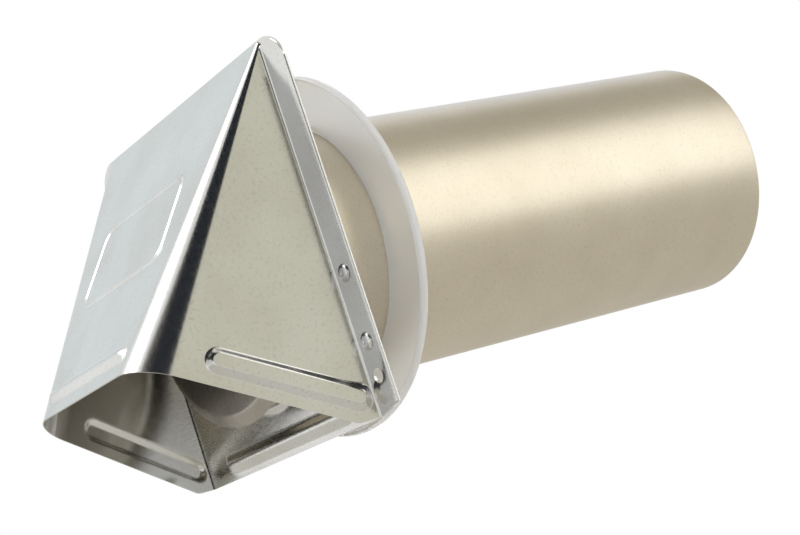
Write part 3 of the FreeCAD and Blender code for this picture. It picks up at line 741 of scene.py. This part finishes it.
def fold_hood():
    """The right half of the hood: half the front panel, the conical bend, the side and its flange."""
    apex = apex_spot()
    mouth = side_spot(-HOOD_DEPTH, MOUTH_FRONT)
    foot, rear_foot = side_spot(-FLANGE_FRONT, FOOT), side_spot(-REAR_SET, FOOT)
    for old, new in (
        (spot(-1, 1, 0), Vector((0.0, apex.y, apex.z))),
        (spot(1, 1, 0), apex),
        (spot(1, -1, 0), mouth),
        (spot(-1, -1, 0), Vector((0.0, mouth.y, mouth.z))),
    ):
        move_corner(old, new)
    drop = spot(0, 0, FOOT - APEX)
    pick("EDGE", lambda *ends: all(near(end, apex) or near(end, mouth) for end in ends))
    extrude(drop)
    move_corner(mouth + drop, rear_foot)
    move_corner(apex + drop, foot)
    pick("EDGE", lambda *ends: all(near(end, apex) or near(end, mouth) for end in ends))
    bpy.ops.mesh.bevel(
        offset_type="OFFSET", offset=BEND_SETBACK * MM, segments=BEND_STEPS, profile=0.5, affect="EDGES"
    )
    pick("VERT", lambda place: place.y > -BEND_SETBACK * 2 * MM and near(place, apex, APEX_REACH))
    bpy.ops.transform.resize(value=(BEND_TAPER,) * 3, center_override=apex)
    pick("EDGE", lambda *ends: all(on_rear_line(end) for end in ends))
    extrude(spot(FLANGE_EDGE, -FLANGE_FRONT, 0) - Vector((foot.x, foot.y, 0.0)))
    move_corner(spot(FLANGE_EDGE, -FLANGE_FRONT, FOOT), spot(FLANGE_EDGE, -FLANGE_FRONT, STRAIGHT_FOOT))
    pick("VERT", lambda place: near(place, spot(FLANGE_EDGE, -FLANGE_FRONT, APEX), TOP_REACH))
    bpy.ops.transform.translate(value=spot(0, 0, FLANGE_LIFT))
    pick("EDGE", lambda *ends: all(on_rear_line(end) for end in ends))
    bpy.ops.mesh.bevel(
        offset_type="OFFSET", offset=FOLD_RADIUS * MM, segments=FOLD_STEPS, profile=0.5, affect="EDGES"
    )


def on_rear_line(place):
    """Whether a point is on the fold between the side panel and its flange."""
    fold = side_spot(-FLANGE_FRONT, 0)
    return abs(place.x - fold.x) < TOUCH * MM and abs(place.y - fold.y) < TOUCH * MM


def runs_forward(first, second):
    """Whether an edge runs from the hood's back to its mouth."""
    low, high = sorted((first, second), key=lambda end: end.y)
    return high.y > BACK_LINE * MM and low.y < MOUTH_LINE * MM


def runs_across(first, second):
    """Whether an edge runs across half the front panel, from its middle line."""
    inner, outer = sorted((first.x, second.x))
    return inner < TOUCH * MM and outer > SHORTEST_ACROSS * MM


def runs_down_side(first, second):
    """Whether an edge is one of the long ones left on the side panel."""
    return (first - second).length > SHORTEST_SIDE_EDGE * MM


def near_frame(place):
    """Whether a point is in the band where the frame is pressed."""
    return on_front(place) and abs(frame_line_distance(place)) < FINE_FRAME_BAND * MM


def cut_small_faces():
    """Cuts the folded half into small faces that can be pressed."""
    for test, cuts in (
        (runs_forward, HOOD_ROWS),
        (runs_across, FRONT_COLUMNS),
        (runs_down_side, SIDE_COLUMNS),
    ):
        pick("EDGE", test)
        bpy.ops.mesh.subdivide(number_cuts=cuts)
    for _ in range(FINE_FRAME_CUTS):
        pick("FACE", lambda *corners: all(near_frame(corner) for corner in corners))
        bpy.ops.mesh.subdivide(number_cuts=1)
    start, end = side_bead_ends()
    band = FINE_BEAD_BAND * MM
    pick("FACE", lambda *corners: all(distance_to_run(corner, start, end) < band for corner in corners))
    bpy.ops.mesh.subdivide(number_cuts=1)


def close_top():
    """Draws the front panel's top line back to the plate."""
    top = apex_spot()
    pick("EDGE", lambda *ends: all(abs(end.y - top.y) + abs(end.z - top.z) < TOUCH * MM for end in ends))
    extrude(spot(0, FLANGE_FRONT - SHEET, (FLANGE_FRONT - SHEET) * FRONT_SLOPE))


def round_rear_foot():
    """Rounds the side panel's lower rear corner with a few flat cuts."""
    start = side_spot(-HOOD_DEPTH, MOUTH_FRONT)
    end = side_spot(-REAR_SET, FOOT)
    slope = math.atan2(start.z - end.z, end.y - start.y)
    setback = FOOT_CORNER * math.tan(slope / 2)
    centre = spot(0, -REAR_SET + setback, FOOT + FOOT_CORNER)
    for step in range(1, FOOT_STEPS):
        angle = slope * step / FOOT_STEPS
        outward = Vector((0.0, -math.sin(angle), -math.cos(angle)))
        pick_all()
        trim(centre + outward * FOOT_CORNER * MM, outward)


def round_flange():
    """Rounds the flange's upper outer corner with flat cuts."""
    reach = FLANGE_RADIUS * MM
    centre = spot(FLANGE_EDGE - FLANGE_RADIUS, -FLANGE_FRONT, FLANGE_TOP - FLANGE_RADIUS)
    for step in range(1, CORNER_STEPS):
        angle = math.pi / 2 * step / CORNER_STEPS
        outward = Vector((math.cos(angle), 0.0, math.sin(angle)))
        pick("FACE", lambda *corners: all(corner.y > -(FLANGE_FRONT + TOUCH) * MM for corner in corners))
        trim(centre + outward * reach, outward)


def press_hood(piece):
    """Presses the frame and the beads out of the sheet."""
    start, end = side_bead_ends()
    run = (end - start).normalized() * SIDE_BEAD_HALF * MM
    first, last = start + run, end - run
    half_front = FRONT_BEAD_LENGTH / 2 - FRONT_BEAD_HALF

    def bead_share(place):
        mirrored_place = Vector((abs(place.x), place.y, place.z))
        past_flat = max(0.0, distance_to_run(mirrored_place, first, last) - SIDE_BEAD_FLAT * MM)
        side = SIDE_BEAD_SHARE * bump_share(past_flat, (SIDE_BEAD_HALF - SIDE_BEAD_FLAT) * MM)
        if not on_front(place):
            return side
        past_end = max(0.0, abs(place.x) - half_front * MM)
        below = front_down(place) - FRONT_BEAD_DOWN * MM
        return bump_share(math.hypot(past_end, below), FRONT_BEAD_HALF * MM)

    def frame_share(place):
        if not on_front(place):
            return 0.0
        return bump_share(frame_line_distance(place), FRAME_RIDGE_HALF * MM)

    press(piece, "frame", FRAME_RISE * MM, frame_share)
    press(piece, "beads", BEAD_HEIGHT * MM, bead_share)


def make_hood(material):
    """The hood: its right half folded, cut small and mirrored, then pressed and given its wall."""
    piece = start_piece("hood_folded_sheet")
    fold_hood()
    cut_small_faces()
    close_top()
    round_rear_foot()
    round_flange()
    pick_all()
    bpy.ops.mesh.remove_doubles(threshold=MERGE)
    leave_edit()
    apply_modifier(piece, "MIRROR", merge_threshold=TOUCH * MM)
    bpy.ops.object.mode_set(mode="EDIT")
    face_outwards(spot(0, -40, 20), Vector((0.0, -0.8, 0.6)))
    leave_edit()
    press_hood(piece)
    give_thickness(piece, SHEET * MM)
    punch_screw_holes(piece, middle=-0.75, depth=4)
    finish_piece(piece, "root", ["hood"], material)


# Back plate


def make_back_plate(material):
    """The plate's rear face as one spun sheet, trimmed to its outline, hemmed and given its wall."""
    profile = [
        (DUCT_HOLE, -SEAT_DEPTH),
        (SEAT_EDGE - SEAT_BLEND, -SEAT_DEPTH),
        (SEAT_EDGE + SEAT_ROUND, -SEAT_DEPTH + SEAT_ROUND),
        (SEAT_EDGE + SEAT_DEPTH - SEAT_ROUND, -SEAT_ROUND),
        (SEAT_EDGE + SEAT_DEPTH + SEAT_BLEND, 0.0),
    ]
    profile += [(PLATE_CLEAR + step, 0.0) for step in range(PLATE_RINGS)]
    profile.append((PLATE_REACH, 0.0))
    piece = draw_line("plate_pressed_sheet", [spot(0, y, radius) for radius, y in profile])
    spin_line(PLATE_STEPS)
    half = PLATE_HALF - HEM_ROLL
    for place, outward in (
        (spot(half, 0, 0), (1, 0, 0)),
        (spot(-half, 0, 0), (-1, 0, 0)),
        (spot(0, 0, APEX), (0, 0, 1)),
        (spot(0, 0, FOOT), (0, 0, -1)),
    ):
        pick_all()
        trim(place, outward)
    for side in (-1, 1):
        trim_plate_side(side, half)
    for side in (-1, 1):
        roll_hem(side, half)
    face_outwards(spot(70, 0, 0), Vector((0.0, 1.0, 0.0)))
    leave_edit()
    bead_end = PLATE_BEAD_HALF_LENGTH - PLATE_BEAD_HALF

    def bead_share(place):
        past_end = max(0.0, abs(place.x) - bead_end * MM)
        return bump_share(math.hypot(past_end, place.z - PLATE_BEAD_HEIGHT * MM), PLATE_BEAD_HALF * MM)

    press(piece, "bead", -BEAD_HEIGHT * MM, bead_share)
    give_thickness(piece, SHEET * MM)
    punch_screw_holes(piece, middle=-0.25, depth=3)
    add_ears(piece)
    finish_piece(piece, "root", ["back_plate"], material)


def trim_plate_side(side, half):
    """Rounds one upper corner of the plate and cuts its foot at a slant."""
    reach = PLATE_RADIUS - HEM_ROLL
    centre = spot(side * (half - reach), 0, APEX - reach)
    for step in range(1, CORNER_STEPS):
        angle = math.pi / 2 * step / CORNER_STEPS
        outward = Vector((side * math.cos(angle), 0.0, math.sin(angle)))
        pick_all()
        trim(centre + outward * reach * MM, outward)
    low, high = spot(HOOD_HALF, 0, FOOT), spot(PLATE_HALF, 0, STRAIGHT_FOOT)
    along = high - low
    outward = Vector((side * along.z, 0.0, -along.x))
    pick_all()
    trim(spot(side * HOOD_HALF, 0, FOOT), outward)


def roll_hem(side, half):
    """Folds one side of the plate forward round the hood's flange."""
    edge = side * half * MM
    pick("EDGE", lambda *ends: all(abs(end.x - edge) < TOUCH * MM for end in ends))
    bpy.ops.mesh.spin(
        steps=HEM_STEPS,
        angle=side * math.pi,
        center=(edge, -HEM_ROLL * MM, 0.0),
        axis=(0.0, 0.0, 1.0),
    )
    extrude(spot(-side * HEM_LIP, 0, 0))


def add_ears(piece):
    """Two ears that hold the hinge pin, each a rounded leaf standing forward of the plate."""
    ears = []
    for side in (-1, 1):
        ear = start_piece("plate_ear")
        pick_all()
        x = side * (EAR_PLACE + SHEET / 2)
        corners = {
            (-1, -1): spot(x, -HINGE_SET - EAR_RADIUS, HINGE_HEIGHT - EAR_RADIUS),
            (1, -1): spot(x, -SHEET, HINGE_HEIGHT - EAR_RADIUS),
            (1, 1): spot(x, -SHEET, HINGE_HEIGHT + EAR_RADIUS),
            (-1, 1): spot(x, -HINGE_SET - EAR_RADIUS, HINGE_HEIGHT + EAR_RADIUS),
        }
        for (across, up), place in corners.items():
            move_corner(spot(across, up, 0), place)
        pick("VERT", lambda place: place.y < -HINGE_SET * MM)
        bpy.ops.mesh.bevel(
            offset_type="OFFSET",
            offset=EAR_RADIUS * EAR_ROUND_SHARE * MM,
            segments=EAR_STEPS,
            affect="VERTICES",
        )
        leave_edit()
        apply_modifier(ear, "SOLIDIFY", thickness=SHEET * MM, offset=0.0)
        ears.append(ear)
    join_into(piece, ears)


# Duct tail


def bead_line(centre):
    """A rolled bead's outline on the tube, as pairs of place along the tube and radius."""
    line = []
    for step in range(DUCT_BEAD_STEPS + 1):
        along = (2.0 * step / DUCT_BEAD_STEPS - 1.0) * DUCT_BEAD_HALF
        line.append((centre + along, DUCT_RADIUS + DUCT_BEAD_RISE * bump_share(along, DUCT_BEAD_HALF)))
    return line


def make_duct(material):
    """The tube's outer face as one line spun round, trimmed at the front on a slant, and its wall."""
    line = [(COLLAR_REACH, DUCT_RADIUS)] + bead_line(DUCT_BEAD_FRONT) + bead_line(DUCT_BEAD_REAR)
    start = DUCT_BEAD_REAR + DUCT_BEAD_HALF
    straight = DUCT_LENGTH - DUCT_END_START - start
    line += [(start + straight * step / DUCT_RINGS, DUCT_RADIUS) for step in range(1, DUCT_RINGS + 1)]
    line += [(DUCT_LENGTH - before, DUCT_RADIUS - inwards) for before, inwards in DUCT_END_LINE]
    piece = draw_line("duct_rolled_tube", [spot(0, y, radius) for y, radius in line])
    spin_line(DUCT_STEPS)
    tilt = math.radians(FLAP_TILT)
    pick_all()
    trim(spot(0, -COLLAR_SET, HINGE_HEIGHT), Vector((0.0, -math.cos(tilt), math.sin(tilt))))
    face_outwards(spot(0, 100, DUCT_RADIUS), Vector((0.0, 0.0, 1.0)))
    leave_edit()
    seam = math.radians(SEAM_ANGLE)
    seam_way = Vector((math.cos(seam), 0.0, math.sin(seam)))

    def seam_share(place):
        if place.y < (DUCT_BEAD_REAR + DUCT_BEAD_HALF) * MM or place.dot(seam_way) < 0:
            return 0.0
        across = abs(place.x * seam_way.z - place.z * seam_way.x)
        return 1.0 if across < SEAM_WIDTH / 2 * MM else 0.0

    press(piece, "seam", SEAM_RISE * MM, seam_share)
    give_thickness(piece, SHEET * MM)
    finish_piece(piece, "root", ["duct_tail"], material)


# Trim ring


def make_ring(material):
    """The plastic ring: a flat web, a rolled lip outside and a tapered collar inside."""
    front, rear = RING_FRONT, RING_FRONT + RING_WEB
    line = [(front + along, radius) for along, radius in RING_FRONT_LINE]
    middle = (front + rear) / 2 + RING_LIP_SHIFT
    for step in range(RING_LIP_STEPS + 1):
        angle = math.pi * step / RING_LIP_STEPS
        along = middle - math.cos(angle) * (RING_WEB / 2 + RING_LIP_RISE)
        line.append((along, RING_RADIUS - RING_LIP / 2 * (1 - math.sin(angle))))
    line += [(rear + along, radius) for along, radius in RING_REAR_LINE]
    piece = draw_line("ring_moulded", [spot(0, y, radius) for y, radius in line], closed=True)
    spin_line(RING_STEPS)
    pick_all()
    bpy.ops.mesh.normals_make_consistent(inside=False)
    finish_piece(piece, "ring", ["trim_ring"], material)


# Damper flap and its pin


def make_flap(material):
    """The dished disc, cut flat at the top, with two tabs curled round the pin, tilted onto its seat."""
    spots = [spot(0, depth - FLAP_SHEET, radius) for depth, radius in FLAP_LINE]
    piece = draw_line("flap_dished_sheet", spots)
    spin_line(FLAP_STEPS)
    pick_all()
    trim(spot(0, 0, FLAP_DROP - FLAP_TOP_CUT), Vector((0.0, 0.0, 1.0)))
    face_outwards(spot(0, 0, -30), Vector((0.0, -1.0, 0.0)))
    leave_edit()
    give_thickness(piece, FLAP_SHEET * MM)
    join_into(piece, [make_tab(side) for side in (-1, 1)])
    bpy.ops.object.mode_set(mode="EDIT")
    pick_all()
    bpy.ops.transform.rotate(value=math.radians(FLAP_TILT), orient_axis="X", center_override=(0, 0, 0))
    pick_all()
    bpy.ops.transform.translate(value=spot(0, -FLAP_SET, 0))
    finish_piece(piece, "flap", ["damper_flap"], material)


def make_tab(side):
    """One tab of the flap: a strap that curls round the pin."""
    strap_foot = FLAP_DROP - FLAP_TOP_CUT - TAB_FOOT
    inner, outer = side * (TAB_OUTER - TAB_WIDTH), side * TAB_OUTER
    low, high = min(inner, outer), max(inner, outer)
    spots = [spot(low, -FLAP_SHEET, strap_foot), spot(low, -FLAP_SHEET, FLAP_DROP)]
    tab = draw_line("flap_tab", spots)
    pick("VERT", lambda place: near(place, spots[-1]))
    bpy.ops.mesh.spin(
        steps=TAB_STEPS,
        angle=math.radians(TAB_CURL),
        center=spot(0, KNUCKLE_BORE, FLAP_DROP),
        axis=(1.0, 0.0, 0.0),
    )
    pick_all()
    bpy.ops.mesh.remove_doubles(threshold=MERGE)
    pick_all()
    extrude(spot(high - low, 0, 0))
    face_outwards(spot(low, -FLAP_SHEET, strap_foot), Vector((0.0, -1.0, 0.0)))
    leave_edit()
    apply_modifier(tab, "SOLIDIFY", thickness=FLAP_SHEET * MM, offset=-1.0)
    return tab


def make_pin(material):
    """A drawn wire with an upset head at each end."""
    line = [(-along, radius) for along, radius in reversed(PIN_LINE)] + list(PIN_LINE[1:])
    spots = [spot(x, -HINGE_SET, HINGE_HEIGHT + radius) for x, radius in line]
    piece = draw_line("pin_headed_wire", spots)
    spin_line(PIN_STEPS, spot(0, -HINGE_SET, HINGE_HEIGHT), (1.0, 0.0, 0.0))
    bpy.ops.mesh.normals_make_consistent(inside=False)
    finish_piece(piece, "root", ["hinge_pin"], material)


# Rivets


def make_rivets(material):
    """Four blind rivets: a domed head with a small dimple in front and a flush shank behind."""
    line = list(RIVET_SHANK_LINE)
    for step in range(1, RIVET_DOME_STEPS):
        angle = math.pi / 2 * step / RIVET_DOME_STEPS
        radius = RIVET_RADIUS * math.cos(angle) ** RIVET_ROUNDNESS
        line.append((-RIVET_BRIM - RIVET_RISE * math.sin(angle), radius))
    line += RIVET_DIMPLE_LINE
    rivets = []
    for side in (-1, 1):
        for height in RIVET_HEIGHTS:
            middle = spot(side * FASTENER_LINE, 0, height)
            spots = [middle + spot(0, y, radius) for y, radius in line]
            rivets.append(draw_line("rivet_head", spots))
            spin_line(RIVET_STEPS, middle)
            bpy.ops.mesh.normals_make_consistent(inside=False)
            leave_edit()
    piece = rivets[0]
    join_into(piece, rivets[1:])
    piece.name = "rivets_domed"
    finish_piece(piece, "root", ["rivets"], material)


def make_pieces():
    """Each piece of sheet, plastic and wire, with its finish."""
    make_hood(sheet_metal(
        "hood_sheet_metal", HOOD_BRIGHT, HOOD_DULL,
        rough=(0.14, 0.22), grain=GRAIN_UP, scale=40.0, bump=0.012,
    ))
    make_back_plate(sheet_metal(
        "plate_sheet_metal", HOOD_BRIGHT, HOOD_DULL,
        rough=(0.20, 0.32), grain=GRAIN_ACROSS, scale=40.0, bump=0.015,
    ))
    make_duct(sheet_metal(
        "duct_satin_metal", DUCT_BRIGHT, DUCT_DULL,
        rough=(0.33, 0.42), grain=GRAIN_EVEN, scale=1500.0, bump=0.10,
    ))
    make_ring(ring_plastic())
    # The flap's finish is a darker copy of the sheet metal, with painted shade in its colours.
    make_flap(sheet_metal(
        "flap_metal_painted_shade", FLAP_PAINTED_SHADE_BRIGHT, FLAP_PAINTED_SHADE_DULL,
        rough=(0.25, 0.38), grain=GRAIN_UP, scale=40.0, bump=0.08,
    ))
    make_pin(sheet_metal(
        "pin_wire_steel", STEEL, STEEL_DULL,
        rough=(0.25, 0.40), grain=GRAIN_WIRE, scale=80.0, bump=0.05,
    ))
    make_rivets(sheet_metal(
        "rivet_metal", HOOD_BRIGHT, STEEL,
        rough=(0.16, 0.26), grain=GRAIN_EVEN, scale=300.0, bump=0.05,
    ))


bpy.context.scene.view_settings.view_transform = "Standard"
set_camera()
set_world()
add_floor()
set_studio()
make_pieces()
